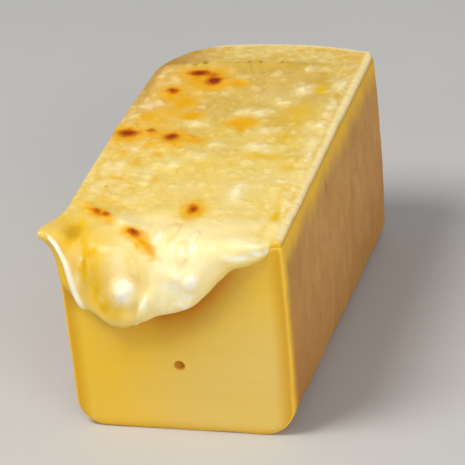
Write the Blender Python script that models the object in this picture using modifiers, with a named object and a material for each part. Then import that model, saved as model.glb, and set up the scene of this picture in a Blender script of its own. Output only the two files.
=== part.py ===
"""A block of raclette cheese, partly used, as one solid.

It is what is left of a quarter of a square wheel: rind on both long sides, the back and the base,
a cut face in front, and a melted top that has run forward over the front edge in one broad tongue.

Frame: metres, +Z up. The cut face looks along -Y, the length runs along Y, and the origin is on
the resting base, under the middle of the block.
"""

import bisect
import math

import bmesh
import bpy
from mathutils import Vector

MM = 0.001

# The block
WIDTH = 69.6 * MM  # thickness of the wheel, across X
LENGTH = 140 * MM  # front cut to the back corners
HEIGHT = 65 * MM  # base to the top rim
LEFT_FOOT_RADIUS = 9 * MM  # base to the left side
RIGHT_FOOT_FRONT_RADIUS = 10 * MM  # base to the right side, at the cut face
RIGHT_FOOT_BACK_RADIUS = 3.5 * MM
HEEL_RADIUS = 7 * MM  # base to back
SHOULDER_RADIUS = 19 * MM  # back to left side, the wheel's own round rim
BACK_RIGHT_RADIUS = 3 * MM
CUT_EDGE_RADIUS = 1.2 * MM  # edges made by the knife
BACK_CROWN = 6.5 * MM  # how far the middle of the back stands out past its corners
BACK_CROWN_CENTRE = 6 * MM
RIGHT_BELLY = 1.1 * MM  # bulge of the right side at its fullest
RIGHT_BELLY_HEIGHT = 21 * MM
RIGHT_BELLY_REACH = 42 * MM  # how far above and below its fullest the bulge ends
LEFT_LEAN = 3.0 * MM  # how much further out the left side is at the top than at the base
LEFT_TAPER = 0.9 * MM  # how much further in the left side is at the back than at the front
LEFT_BOW = 1.5 * MM

# The melted layer and its tongue
MELT_TOP = 65.3 * MM
MELT_SINK = 0.7 * MM  # how far the layer's border lies below its middle
SIDE_SINK_SHARE = 0.07  # share of the width over which it sinks
BACK_SINK_SHARE = 0.12
MELT_DEPTH = 8 * MM  # how far the layer reaches down into the block
MELT_INSET = 1.5 * MM  # how far inside the block the layer's underside ends
CLEARANCE = 0.8 * MM  # how far the block's top lies below the layer's surface
BACK_MARGIN = 13 * MM  # bare rim between the melt and the back
RIGHT_MARGIN = 2.5 * MM  # bare rim between the melt and the right side
RIGHT_MARGIN_REACH = 20 * MM  # length over which that rim widens from nothing at the front
SHOULDER_REACH = 30 * MM  # length over which the left border follows the back's round corner
SHOULDER_INSET = 14 * MM
TIP_REACH = 6.3 * MM  # how far the left front corner of the melt is drawn out sideways
TIP_LENGTH = 25 * MM  # length over which that corner is drawn out
WEB_DROP = 3 * MM  # how far down the side the drawn-out corner is held
TIP_CURVE = 1.6  # how sharply it is drawn out: the power that its border follows
WEB_CURVE = 4
TONGUE_STAND = 5 * MM  # how far the tongue stands off the cut face
LEAST_STAND = 0.3 * MM
STAND_DROP = 16 * MM  # it stands off fully where it hangs this far
DIP_DEPTH = 1.6 * MM  # at its right end the tongue dips into the block
DIP_START = 26 * MM
DIP_LENGTH = 6 * MM
BEND_SHARE = 0.6  # the bend takes at most this share of the drop
LIP_RADIUS = 2.8 * MM
LIP_SHARE = 0.25
# Lower lip of the tongue, left to right: place across the face, and drop below the top, in mm
LIP = (
    (-39.5, 2),
    (-36.6, 6),
    (-34.2, 10.8),
    (-33, 14.2),
    (-30.5, 18.8),
    (-26, 23.8),
    (-20, 28.8),
    (-17, 29.6),
    (-14, 28.6),
    (-8, 24.8),
    (5.5, 21.2),
    (8.5, 19.4),
    (14.5, 13.7),
    (19.5, 8.4),
    (25.5, 7.4),
    (28.5, 6.2),
    (33, 2.8),
    (36, 1.4),
)
# Radius of the bend over the front edge: place across the face, and radius, in mm
BENDS = ((-39, 2), (-34, 7), (-28, 12), (-20, 16), (-5, 17), (5, 14), (14, 9), (20, 5), (36, 1.2))
# The crease: way along the flow, and place across, in mm. The melt to its right lies higher.
CREASE = ((50, -31), (56, -23.6), (65, -13.5), (72, -4), (80, -4), (88, -7.5), (98, -12))
# Height of the crease's step: way along the flow, and height, in mm
STEP = ((46, 0), (54, 1), (66, 1.6), (76, 0.7), (88, 1.2))
CREASE_WIDTH = 4 * MM
CREASE_FADE = 14 * MM  # how far to the right the step has sunk away
# Hollows and swellings: across, way along the flow, two half sizes, and height, in mm
LUMPS = (
    (-28.8, 66, 4, 7, -1.7),
    (-23, 80, 3.5, 9, -0.8),
    (-12.6, 84.5, 3.4, 3.6, 2.2),
    (8.1, 81.8, 3.2, 3.2, 1.6),
    (-6.4, 88.6, 3, 4.6, 1.1),
)

# The one eye in the cut face
EYE_DIAMETER = 3.6 * MM
EYE_PLACE = (1.1 * MM, 22.2 * MM)  # across, and above the base

# Meshes
EDGE_SEGMENTS = 7
KNIFE_SEGMENTS = 3
SHARP = math.radians(50)  # edges that turn by more are cut edges
SLICE = 10 * MM
MELT_COLUMNS = 22
MELT_TOP_ROWS = 14
MELT_BEND_ROWS = 5
MELT_FACE_ROWS = 5
MELT_LIP_ROWS = 2
LEFT_CROWDING = 0.4  # how much closer together the melt's columns are at the left
FRONT_CROWDING = 1.4  # the power by which its rows close up towards the front

FRONT = -LENGTH / 2
BACK = LENGTH / 2
LEFT = -34.7 * MM
RIGHT = LEFT + WIDTH


def smooth_step(t):
    t = min(max(t, 0.0), 1.0)
    return t * t * (3 - 2 * t)


def collection(name, hidden=False):
    made = bpy.data.collections.new(name)
    made.hide_render = hidden
    bpy.context.scene.collection.children.link(made)
    return made


def mesh_object(name, bm, home):
    bmesh.ops.recalc_face_normals(bm, faces=bm.faces)
    mesh = bpy.data.meshes.new(name)
    bm.to_mesh(mesh)
    bm.free()
    made = bpy.data.objects.new(name, mesh)
    home.objects.link(made)
    return made


def baked(obj):
    """Replaces an object's mesh by what its modifiers make of it."""
    bpy.context.view_layer.update()
    graph = bpy.context.evaluated_depsgraph_get()
    mesh = bpy.data.meshes.new_from_object(obj.evaluated_get(graph))
    obj.modifiers.clear()
    obj.data = mesh
    return mesh


def cheese_material():
    material = bpy.data.materials.new("cheese")
    material.use_nodes = True
    shader = material.node_tree.nodes["Principled BSDF"]
    shader.inputs["Base Color"].default_value = (0.80, 0.52, 0.12, 1)
    shader.inputs["Roughness"].default_value = 0.45
    shader.inputs["Metallic"].default_value = 0.0
    return material


# --- the block ------------------------------------------------------------------------------------


def edge_radius(edge):
    """The wide rounding of one of the box's twelve edges, from where the edge lies, or 0."""
    middle = (edge.verts[0].co + edge.verts[1].co) / 2
    along = edge.verts[1].co - edge.verts[0].co
    on_base = middle.z < HEIGHT / 4
    at_back = middle.y > LENGTH / 4
    on_left = middle.x < 0
    if on_base and abs(along.y) > 0:
        return LEFT_FOOT_RADIUS if on_left else RIGHT_FOOT_FRONT_RADIUS
    if on_base and at_back:
        return HEEL_RADIUS
    if at_back and abs(along.z) > 0:
        return SHOULDER_RADIUS if on_left else BACK_RIGHT_RADIUS
    return 0


def tightened(point):
    """Draws the right foot's rounding towards the sharp corner, more and more towards the back."""
    foot = RIGHT_FOOT_FRONT_RADIUS
    if point.x < RIGHT - foot or point.z > foot:
        return point
    behind = (point.y - FRONT) / LENGTH
    share = 1 + (RIGHT_FOOT_BACK_RADIUS / foot - 1) * behind
    return Vector((RIGHT + (point.x - RIGHT) * share, point.y, point.z * share))


def side_offset(x, y, z):
    """How far the wheel's flat faces stray from flat: a belly on the right, a lean and a bow on the left."""
    if x > 0:
        off_centre = (z - RIGHT_BELLY_HEIGHT) / RIGHT_BELLY_REACH
        return RIGHT_BELLY * max(1 - off_centre * off_centre, 0) * x / RIGHT
    lean = LEFT_LEAN * (HEIGHT - z) / HEIGHT
    taper = LEFT_TAPER * (y - FRONT) / LENGTH
    bow = LEFT_BOW * math.cos(math.pi * y / LENGTH)
    return (lean + taper - bow) * x / LEFT


def back_offset(x, y):
    """The crown of the back: most in the middle, fading towards the front half of the block."""
    across = (x - BACK_CROWN_CENTRE) / (WIDTH / 2)
    return BACK_CROWN * (1 - across * across) * smooth_step(y / BACK)


def under_melt(point):
    """Sinks a point of the block's top where the melt covers it, and draws the front top edge in below the bend."""
    x, y, z = point
    near_top = z > HEIGHT - 2 * CUT_EDGE_RADIUS
    past_left = x > LEFT + 2 * CUT_EDGE_RADIUS or y < FRONT + TIP_LENGTH
    if near_top and past_left and x < RIGHT - 2 * RIGHT_MARGIN and y < BACK - SHOULDER_REACH:
        z -= MELT_SINK + CLEARANCE
    drop = table_at(LIP, x)
    bend = bend_radius(x, drop)
    start = FRONT - tongue_stand(x, drop) + bend
    back = y - start
    up = z - MELT_TOP + bend
    if back > 0 or up < 0:
        return Vector((x, y, z))
    turn = math.atan2(-back, up)
    limit = bend - min(CLEARANCE, bend / 4) + min(relief(x, bend * turn - start), 0)
    share = min(limit / math.hypot(back, up), 1)
    return Vector((x, start + back * share, MELT_TOP - bend + up * share))


def make_block(home):
    """A box with its wide roundings first and then its knife edges, sliced so that its sides can swell."""
    bm = bmesh.new()
    bmesh.ops.create_cube(bm, size=1)
    bmesh.ops.scale(bm, vec=(WIDTH, LENGTH, HEIGHT), verts=bm.verts)
    bmesh.ops.translate(bm, vec=((LEFT + RIGHT) / 2, 0, HEIGHT / 2), verts=bm.verts)
    weight = bm.edges.layers.float.new("bevel_weight_edge")
    for edge in bm.edges:
        edge[weight] = edge_radius(edge) / SHOULDER_RADIUS
    block = mesh_object("cheese_block", bm, home)
    bevel = block.modifiers.new("wide roundings", "BEVEL")
    bevel.limit_method = "WEIGHT"
    bevel.width = SHOULDER_RADIUS
    bevel.segments = EDGE_SEGMENTS
    baked(block)
    knife = block.modifiers.new("knife edges", "BEVEL")
    knife.limit_method = "ANGLE"
    knife.angle_limit = SHARP
    knife.width = CUT_EDGE_RADIUS
    knife.segments = KNIFE_SEGMENTS
    mesh = baked(block)

    bm = bmesh.new()
    bm.from_mesh(mesh)
    for axis, size, start in ((0, WIDTH, LEFT), (1, LENGTH, FRONT), (2, HEIGHT, 0)):
        count = round(size / SLICE)
        normal = Vector((axis == 0, axis == 1, axis == 2))
        for i in range(1, count):
            place = normal * (start + size * i / count)
            everything = bm.verts[:] + bm.edges[:] + bm.faces[:]
            bmesh.ops.bisect_plane(bm, geom=everything, dist=1e-6, plane_co=place, plane_no=normal)
    for vert in bm.verts:
        x, y, z = tightened(vert.co)
        swollen = Vector((x + side_offset(x, y, z), y + back_offset(x, y), z))
        vert.co = under_melt(swollen)
    bm.to_mesh(mesh)
    bm.free()
    return block


# --- the melted layer -----------------------------------------------------------------------------


def table_at(table, place):
    """A table of places and values in mm, read in metres, in a straight line from one place to the next."""
    places = [row[0] * MM for row in table]
    i = min(max(bisect.bisect(places, place), 1), len(table) - 1)
    blend = min(max((place - places[i - 1]) / (places[i] - places[i - 1]), 0), 1)
    return (table[i - 1][1] * (1 - blend) + table[i][1] * blend) * MM


def tongue_stand(x, drop):
    """How far the melt stands off the cut face. At its right end it dips into the block."""
    dip = DIP_DEPTH * smooth_step((x - DIP_START) / DIP_LENGTH)
    return TONGUE_STAND * smooth_step(drop / STAND_DROP) + LEAST_STAND - dip


def bend_radius(x, drop):
    return min(table_at(BENDS, x), drop * BEND_SHARE)


def mound(dx, dy, wide, high):
    """A smooth bump of height 1 with the given half sizes."""
    return math.exp(-((dx / wide) ** 2) - (dy / high) ** 2)


def relief(x, flow):
    """How far the melt swells out or sinks in, from the place across and the way along the flow."""
    side = x - table_at(CREASE, flow)
    rise = smooth_step(side / CREASE_WIDTH + 0.5) * (1 - smooth_step(side / CREASE_FADE))
    height = table_at(STEP, flow) * rise
    for across, along, wide, high, lift in LUMPS:
        height += lift * MM * mound(x - across * MM, flow - along * MM, wide * MM, high * MM)
    return height


def tip_draw(y):
    """0 where the left border is straight, 1 where its front corner is drawn out furthest."""
    return smooth_step((FRONT + TIP_LENGTH - y) / TIP_LENGTH) ** TIP_CURVE


def melt_x(across, y):
    """The place across at y, between the melt's borders on top."""
    past = max(y - BACK + SHOULDER_REACH, 0) / SHOULDER_REACH
    left = LEFT + SHOULDER_INSET * past * past - TIP_REACH * tip_draw(y)
    right = RIGHT - RIGHT_MARGIN * smooth_step((y - FRONT) / RIGHT_MARGIN_REACH)
    x = left + (right - left) * across
    return x + side_offset(x, y, HEIGHT)


def border_sink(across):
    """1 on the left and right borders, 0 away from them."""
    return 1 - smooth_step(min(across, 1 - across) / SIDE_SINK_SHARE)


def top_point(across, t):
    """A point on top, its way along the flow, and the direction out, t going 0 to 1 from back to front."""
    front_x = melt_x(across, FRONT)
    drop = table_at(LIP, front_x)
    end = FRONT - tongue_stand(front_x, drop) + bend_radius(front_x, drop)
    start = BACK - BACK_MARGIN + BACK_CROWN
    y = start + (end - start) * (1 - (1 - t) ** FRONT_CROWDING)
    x = melt_x(across, y)
    offset = (x - BACK_CROWN_CENTRE) / (WIDTH / 2)
    y -= BACK_CROWN * offset * offset * smooth_step(y / BACK)
    sink = 1 - (1 - border_sink(across)) * smooth_step(t / BACK_SINK_SHARE)
    return Vector((x, y, MELT_TOP - MELT_SINK * sink)), -y, Vector((0, 0, 1))


def hanging_point(across, row):
    """A point of the tongue, its way along the flow, and the direction out: a quarter turn over the edge, a
    straight fall and a quarter turn under the lip."""
    x = melt_x(across, FRONT)
    drop = table_at(LIP, x)
    y = FRONT - tongue_stand(x, drop)
    bend = bend_radius(x, drop)
    lip = min(LIP_RADIUS, drop * LIP_SHARE)
    fall = drop - bend - lip
    border = MELT_TOP - MELT_SINK * border_sink(across)
    bottom = border - bend - fall
    flow = bend * math.pi / 2 - y - bend
    if row <= MELT_BEND_ROWS:
        turn = math.pi / 2 * row / MELT_BEND_ROWS
        point = Vector((x, y + bend * (1 - math.sin(turn)), border - bend * (1 - math.cos(turn))))
        return point, flow - bend * (math.pi / 2 - turn), Vector((0, -math.sin(turn), math.cos(turn)))
    row -= MELT_BEND_ROWS
    if row <= MELT_FACE_ROWS:
        fallen = fall * row / MELT_FACE_ROWS
        return Vector((x, y, border - bend - fallen)), flow + fallen, Vector((0, -1, 0))
    turn = math.pi / 2 * (row - MELT_FACE_ROWS) / MELT_LIP_ROWS
    point = Vector((x, y + lip * (1 - math.cos(turn)), bottom - lip * math.sin(turn)))
    return point, flow + fall + lip * turn, Vector((0, -math.cos(turn), -math.sin(turn)))


def inner_point(across, row):
    """A point of the layer's other side, inside the block: level under the top, then straight to above the lip."""
    x = LEFT + MELT_INSET + (WIDTH - 2 * MELT_INSET) * across
    start = BACK - BACK_MARGIN
    end = FRONT + 4 * MELT_INSET
    y = start + (end - start) * min(row / MELT_TOP_ROWS, 1)
    web = WEB_DROP * tip_draw(y) * (1 - across) ** WEB_CURVE
    z = MELT_TOP - MELT_DEPTH - web
    below = (row - MELT_TOP_ROWS) / (MELT_BEND_ROWS + MELT_FACE_ROWS + MELT_LIP_ROWS)
    if below > 0:
        drop = max(table_at(LIP, melt_x(across, FRONT)) - MELT_INSET, MELT_INSET)
        z += (MELT_TOP - drop - z) * below
        y -= MELT_INSET * below
    return Vector((x, y, z))


def melt_point(across, row, inner):
    """A point of the melt. across runs 0 to 1 from left to right, and rows are counted from the back."""
    if inner:
        return inner_point(across, row)
    if row <= MELT_TOP_ROWS:
        point, flow, out = top_point(across, row / MELT_TOP_ROWS)
    else:
        point, flow, out = hanging_point(across, row - MELT_TOP_ROWS)
    return point + out * relief(point.x, flow)


def make_melt(home):
    """A slab of two layers of points, bent over the front edge and rounded by subdivision."""
    rows = MELT_TOP_ROWS + MELT_BEND_ROWS + MELT_FACE_ROWS + MELT_LIP_ROWS
    bm = bmesh.new()
    bmesh.ops.create_grid(bm, x_segments=MELT_COLUMNS, y_segments=rows, size=1)
    grown = bmesh.ops.extrude_face_region(bm, geom=bm.faces[:])
    for item in grown["geom"]:
        if isinstance(item, bmesh.types.BMVert):
            item.co.z = 1
    for vert in bm.verts:
        place = (vert.co.x + 1) / 2
        across = place * (1 - LEFT_CROWDING + LEFT_CROWDING * place)
        row = round((1 - vert.co.y) / 2 * rows)
        vert.co = melt_point(across, row, inner=vert.co.z < 0.5)
    melt = mesh_object("melt", bm, home)
    soft = melt.modifiers.new("soft", "SUBSURF")
    soft.levels = 1
    soft.render_levels = 1
    return melt


def make_eye(home):
    """The ball that leaves the eye, centred so that it opens on the cut face at its full width."""
    bm = bmesh.new()
    bmesh.ops.create_uvsphere(bm, u_segments=16, v_segments=10, radius=EYE_DIAMETER / 2)
    bmesh.ops.translate(bm, vec=(EYE_PLACE[0], FRONT, EYE_PLACE[1]), verts=bm.verts)
    return mesh_object("eye", bm, home)


def join(target, other, operation):
    """Unites or cuts with a Boolean modifier. The other object stays as a wire helper."""
    other.hide_render = True
    other.display_type = "WIRE"
    boolean = target.modifiers.new(f"{operation.lower()} {other.name}", "BOOLEAN")
    boolean.operation = operation
    boolean.object = other


def main():
    for old in list(bpy.data.objects):
        bpy.data.objects.remove(old, do_unlink=True)
    parts = collection("raclette cheese block")
    helpers = collection("helpers", hidden=True)
    block = make_block(parts)
    join(block, make_melt(helpers), "UNION")
    join(block, make_eye(helpers), "DIFFERENCE")
    block.data.materials.append(cheese_material())
    block.data.shade_smooth()
    block.data.set_sharp_from_angle(angle=math.radians(40))


main()
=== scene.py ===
"""The looks of a partly used block of raclette cheese, laid out as a Blender add-on and run as a script.

Two pieces stand for the one CAD solid: the block of paste and rind, and the melted layer that lies on it
and hangs over its front edge in a broad tongue. Sizes are in metres, through MM, and +Z is up.
"""

import math

import bpy
import numpy as np
from bpy.props import FloatProperty, FloatVectorProperty, PointerProperty
from mathutils import Matrix, Vector


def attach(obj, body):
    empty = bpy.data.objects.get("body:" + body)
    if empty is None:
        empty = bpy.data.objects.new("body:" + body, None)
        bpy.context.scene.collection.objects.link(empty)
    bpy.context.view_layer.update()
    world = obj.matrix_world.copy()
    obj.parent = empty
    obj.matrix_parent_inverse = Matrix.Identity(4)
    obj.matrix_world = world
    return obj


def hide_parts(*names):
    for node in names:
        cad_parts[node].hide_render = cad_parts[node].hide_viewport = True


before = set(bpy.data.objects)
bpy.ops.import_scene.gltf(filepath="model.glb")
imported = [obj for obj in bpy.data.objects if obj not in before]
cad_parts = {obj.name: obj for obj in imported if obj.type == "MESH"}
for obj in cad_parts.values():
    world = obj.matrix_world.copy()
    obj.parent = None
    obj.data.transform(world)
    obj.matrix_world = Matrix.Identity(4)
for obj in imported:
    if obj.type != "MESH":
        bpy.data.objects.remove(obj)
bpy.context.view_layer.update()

bl_info = {
    "name": "Raclette cheese block",
    "version": (1, 0, 0),
    "blender": (4, 5, 0),
    "location": "3D View > Sidebar > Cheese",
    "description": "Builds a block of raclette cheese with a melted, browned top",
    "category": "Add Mesh",
}

MM = 0.001

# The block. Its own top is hidden: the melted layer covers it, rim and all.
WIDTH, LENGTH, HEIGHT, HIDDEN_TOP = 69.6 * MM, 140 * MM, 65 * MM, 63.5 * MM
FRONT, BACK = -LENGTH / 2, LENGTH / 2
LEFT, RIGHT = -34.7 * MM, 34.9 * MM
LEFT_FOOT, RIGHT_FOOT_FRONT, RIGHT_FOOT_BACK = 9 * MM, 10 * MM, 3.5 * MM
HEEL, SHOULDER, BACK_RIGHT_EDGE, CUT_EDGE = 7 * MM, 19 * MM, 3 * MM, 1.2 * MM
BACK_CROWN, CROWN_CENTRE = 6.5 * MM, 6 * MM
RIGHT_BELLY, BELLY_HEIGHT, BELLY_REACH = 1.1 * MM, 21 * MM, 42 * MM
LEFT_LEAN, LEFT_BOW, LEFT_TAPER = 3.0 * MM, 1.5 * MM, 0.9 * MM
EYE_RADIUS, EYE_X, EYE_Z = 1.8 * MM, 1.1 * MM, 22.2 * MM
# Rings round the eye, in its radii, and how many steps round a corner, a cut edge and the back, and over the face
EYE_RINGS = (0.02, 0.3, 0.55, 0.75, 0.88, 0.95, 1.0, 1.05, 1.12, 1.25, 1.5)
CORNER_STEPS, CUT_STEPS, BACK_STEPS, FACE_RINGS = 14, 8, 26, 42
# Where the lip's painted shadow starts below the lip, how far down it reaches, and how far in the masks of edges
# run
SHADOW_START, SHADOW_REACH, EDGE_REACH = 2.4 * MM, 13 * MM, 12 * MM

# The stage: what the lights face, and what the camera turns round
FLOOR_SIDE, LOOK_AT = 6.0, (0, 0, 0.03)
CAMERA_CENTRE, CAMERA_SHIFT = (0, 0, 0.0325), 0.0114

# The melted layer
TIP_REACH, TONGUE_STAND, GROOVE = 6.3 * MM, 5 * MM, 0.05 * MM
ROLL_RADIUS, ROLL_TURN, ROLL_STEPS, TUCK_STEPS = 1.2 * MM, 140, 10, 8
COLUMNS, SHOULDER_ROWS, TOP_ROWS, FALL_ROWS = 195, 14, 255, 110
RIM_BACK = 14  # width of the bare rim at the back, in mm
# Lower lip of the tongue, left to right: place across the face, and drop below the top, in mm
LIP = (
    (-39.5, 2), (-38, 4.2), (-36.6, 6), (-35.3, 8), (-34.2, 10.8), (-33, 14.2), (-30.5, 18.8), (-28.5, 21.3),
    (-26, 23.8), (-22.5, 27), (-20, 28.8), (-17, 29.4), (-14, 27.8), (-11.5, 25.2), (-8, 24.2), (-3, 23.4),
    (2, 22.2), (5.5, 21.2), (8.5, 19.4), (12, 16.2), (14.5, 13.7), (17, 10.8), (19.5, 8.4), (22, 7.6),
    (25.5, 7.4), (28.5, 6.2), (31, 4.4), (33, 2.8), (36, 1.4),
)
# How strong the lip's painted shadow is on the cut face: place across the face in mm, and strength
LIP_SHADOW = (
    (-24, 0), (-18, 0.15), (-11.5, 0.45), (-5, 0.85), (-2, 1), (5, 1), (13, 0.9), (18.5, 0.75), (23, 0.35),
    (27, 0.08),
)
# How softly the melt bends over the front edge: place across the face, and radius, in mm
BENDS = (
    (-39, 2), (-34, 7), (-28, 12), (-20, 16), (-5, 17), (5, 14), (14, 9), (20, 5), (26, 3), (36, 1.2),
)
# The crease: way along the flow, and place across, in mm. The melt to its right lies higher.
CREASE = (
    (40, -40), (50, -31), (53.5, -26.8), (56, -23.6), (60.2, -19.1), (65, -13.5), (68.5, -8), (70, -5.7),
    (72.3, -3.7), (78, -3.6), (82, -4.4), (84.6, -5.7), (88.2, -7.6), (91.2, -8.9), (98, -12),
)
# The bead down the tongue's left side, with a painted highlight on it: way along the flow, and place across, in mm
BEAD = (
    (66, -38.5), (69, -36.8), (71.8, -34.9), (74.3, -32.7), (77.2, -30.9), (80.3, -29.5), (83.9, -28.6),
    (87.4, -27.6), (91.6, -26.2), (100, -24),
)
# How high the crease's step stands: way along the flow, and height, in mm
STEP = (
    (46, 0), (54, 1), (62, 1.6), (70, 1.5), (76, 0.6), (80, 0.6), (86, 1.4), (92, 1.2), (98, 0.6),
)

# The flow is the way along the melt: minus y on top, and then the distance over the edge and down.
# Each row below is: place across, place along the flow and two half sizes, in mm; a height in mm for LUMPS or a
# strength for the others; and a turn in degrees where it has one.
LUMPS = (
    (-28.8, 66, 3.6, 7, -1.7), (-23.5, 75, 3, 6, -0.8), (-22.6, 86, 2.6, 6, -0.8),
    (-12.6, 84.5, 2.7, 3, 2.2), (-16, 73, 4, 5, 0.3), (8.1, 81.8, 3.4, 3.2, 1.1), (-2.4, 67.5, 2, 4, 0.6),
    (0.8, 64.6, 1.7, 3.6, 0.5), (5.4, 73.6, 2, 3, 0.7), (-6.4, 88.6, 2.2, 4.6, 1.1, 20),
    (3.4, 79.4, 3, 2.2, 0.9), (16, 74, 6, 3.6, 0.6, 20), (27.6, 71.6, 3, 1.2, 0.4), (14.1, 38, 1.7, 6, 0.6),
    (-15, 94, 5, 3, 0.4), (12, 47, 4, 5, 0.4), (-6, 54, 5, 5, 0.5), (20, 60, 5, 4, 0.5),
    (-18, 47, 5, 4, 0.4),
)
TOAST = (
    (-18.8, -49.4, 4.2, 2.4, 1.05), (-14.4, -48.4, 3.2, 3, 0.62), (-12.6, -44.3, 3, 3.1, 1.2),
    (-18.6, -46, 3, 2, 0.4), (-24.2, -35.6, 2.6, 2.4, 0.88), (-30.5, -2.3, 4.3, 2.8, 0.98),
    (-23.6, -4.6, 2.2, 2, 0.7), (-16.2, -0.8, 2.9, 3, 0.92), (-9.6, -1.5, 4.6, 0.9, 0.42),
    (3.5, 50.4, 2, 3.2, 0.88), (2.7, 48.4, 1.5, 2, 0.62), (-25, 54.8, 3.8, 1, 0.8, 34),
    (-21.8, 57.3, 3, 0.9, 0.8, 34), (-10.4, 66.2, 2.7, 0.95, 0.92, 18), (-7.8, 68.2, 1.8, 0.9, 0.3, 36),
)
ORANGE = (
    (-15.8, -46.2, 7.2, 6.6, 1), (-9, -43, 5, 3.4, 0.6), (-4.6, -42.2, 3.2, 3.4, 0.85),
    (-23.7, -33.2, 4.2, 5, 1), (-18.4, -26.2, 3.8, 5, 0.95, 20), (-21.4, -29, 3, 5, 0.6, 20),
    (-20.2, -19, 6, 6, 0.5), (-13.7, -16.5, 4, 3.6, 0.9), (-27.1, -15.1, 3.4, 3.8, 0.75),
    (-24, -12, 7, 8, 0.42), (-29.4, -8.6, 1.6, 2.2, 0.6), (-30.6, 0.4, 5, 4, 0.95), (-23.2, -3, 3.6, 4, 0.8),
    (-15.2, 1.2, 4.8, 4.6, 1), (-9.4, 1, 5, 3.2, 0.8), (-21.6, 6, 2, 3.4, 0.5), (-17.6, 12.6, 2.2, 1.9, 0.5),
    (-22.4, 18, 1.8, 4, 0.45), (-28.4, 12.6, 2.4, 3, 0.4), (-11.6, 7.4, 0.9, 1, 0.8, 30),
    (-25.5, 31, 3.2, 2.8, 0.42), (-13.3, 31, 1.7, 2.4, 0.44), (-15, 42, 1.5, 1.4, 0.3),
    (-7.5, 23.9, 1, 1.8, 0.36), (-7.4, 49, 0.9, 1.7, 0.35), (-25.3, 46, 1.6, 3.4, 0.42),
    (3.6, -12.8, 4.2, 3.8, 1.1), (4.4, -10.6, 2.2, 4, 0.9), (3.7, 51.6, 3.6, 5.4, 1),
    (-23.6, 56.3, 5.6, 1.7, 0.9, 41), (-7.4, 69.2, 4.8, 1.9, 1.05, 36), (-4.6, 72.4, 1.2, 2.2, 0.35),
)
GOLD = (
    (-25.6, 69, 2.2, 5, 1), (-24.4, 78, 1.8, 4, 1.2), (-15, 98.5, 6, 4, 1.6), (23.7, -39.9, 2.2, 3.2, 0.8),
    (23.9, -58, 3.4, 4.2, 0.6), (20, -20.3, 6.6, 9, 0.55), (20.2, -3.6, 4.6, 4.6, 0.6),
    (17, 11.5, 8, 2.2, 0.7, 8), (26.3, 18.1, 2.9, 3, 0.6), (29.2, 53, 1.8, 5.3, 0.8),
    (-0.8, -9.6, 3, 4.8, 0.4), (-0.3, 19.2, 4, 3.7, 0.35), (-14.4, -37.4, 4.4, 2.4, 0.8),
    (-17, -57, 12, 4, 0.45), (0, -58, 12, 3, 0.4), (28, 38, 1.8, 12, 0.45), (27.7, 62, 1.9, 3.4, 0.4),
    (-29.2, 66, 3.4, 7.4, 1.45), (-28, 53, 8, 9, 0.35), (-33.6, 62, 3, 8, 0.4), (-28.7, 60, 2.4, 3.4, 0.75),
    (-22.6, 74, 3.8, 5, 1), (-24.6, 80, 2, 5, 1), (-21.1, 86, 2.6, 4.6, 1, 10), (-18.9, 90.4, 3, 3.4, 1),
    (-14.8, 95, 5.4, 5, 1.2), (0.6, 64.3, 1.1, 4.4, 0.25, -6), (-17.6, 77, 1.3, 2, 0.35),
    (12.8, 28.6, 4.5, 0.8, 0.45, 8), (27.6, 66.6, 4, 3.4, 0.4),
)
IVORY = (
    (18.1, -39.3, 2.6, 3.4, 0.9), (14.1, -29.1, 2.9, 1.8, 1), (7.5, -20.5, 3.8, 3, 0.8),
    (13.2, -7.7, 2.9, 2.4, 0.5), (21.6, -7.3, 1.3, 1.9, 0.8), (13.2, 5.2, 3.6, 3, 1),
    (28.2, -13.5, 2.3, 2.6, 0.9), (30, 9.9, 1.4, 5, 0.8), (29.6, -43.6, 2.6, 3.5, 0.8),
    (30.6, -28, 2.2, 3.9, 0.8), (29.6, -21.3, 2, 3, 0.7), (29, 0.7, 2.1, 3.3, 0.8),
    (22.4, -56.5, 2, 1.9, 0.8), (16.7, -55.8, 1.8, 1.7, 0.7), (14.1, 38, 1.8, 6.2, 1),
    (-0.3, 3.9, 2.4, 3, 0.6), (-3.4, -47.2, 2, 2.5, 0.5), (-6.5, -33.8, 1.8, 2.1, 0.5),
    (27, 28.3, 2.3, 2.4, 0.5), (30.2, 33.4, 1.4, 2.2, 0.7), (31, 47.9, 1.1, 3, 1),
    (-10.6, -11.1, 3.2, 2.2, 0.65), (-29.1, -22.9, 1.7, 2.3, 0.6), (-25.4, -25, 1.4, 2.2, 0.6),
    (-10.2, 20, 1.6, 3, 0.6), (-4.4, 12, 2.8, 2.6, 0.5), (-26.8, 24, 3, 4.6, 0.4),
    (-17.2, 26.6, 2.6, 3.4, 0.45), (-29.6, 37.6, 1.7, 3.5, 0.6), (-26.1, 9.6, 2.2, 2.4, 0.55),
    (2.7, -21.6, 2.2, 2.4, 0.7), (-14.2, -56, 2, 2, 0.45),
)
# Thick cream melt. Where a row's strength runs over 1, its middle also gets a painted highlight in milk white
CREAM_AND_HIGHLIGHTS = (
    (3, 83, 8.5, 4.6, 1.12), (-9.4, 94, 1.2, 3, 1.5, 20), (5, 74, 15, 12, 0.9), (4, 88, 13, 9, 1, 10),
    (-12.4, 84, 3.6, 5, 1.8), (-14, 76, 4.4, 7, 0.55), (-12, 69, 5, 5, 0.4), (-26.6, 83, 1.2, 2.6, 0.9),
    (-25.4, 76.4, 1.3, 2.2, 1), (-13.9, 88, 1.1, 3, 0.7), (22, 75, 5, 1.5, 1.35, 8),
    (28, 73.6, 2.2, 1.3, 1.6, 8), (31, 72.2, 1.4, 1.1, 1.4), (24, 70, 7, 3.6, 0.8), (14.1, 38, 2, 6, 0.5),
    (-16, 62, 5, 4, 0.3), (8.1, 81.3, 3.4, 3.2, 1.7), (-2.4, 67.5, 1.8, 4, 1.1), (6, 75, 1.8, 2.4, 1),
    (-6.4, 88, 1.8, 4.6, 1.3, 15), (27, 71.5, 3, 1.4, 1), (3.9, 79, 3, 1.8, 1),
)
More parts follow.
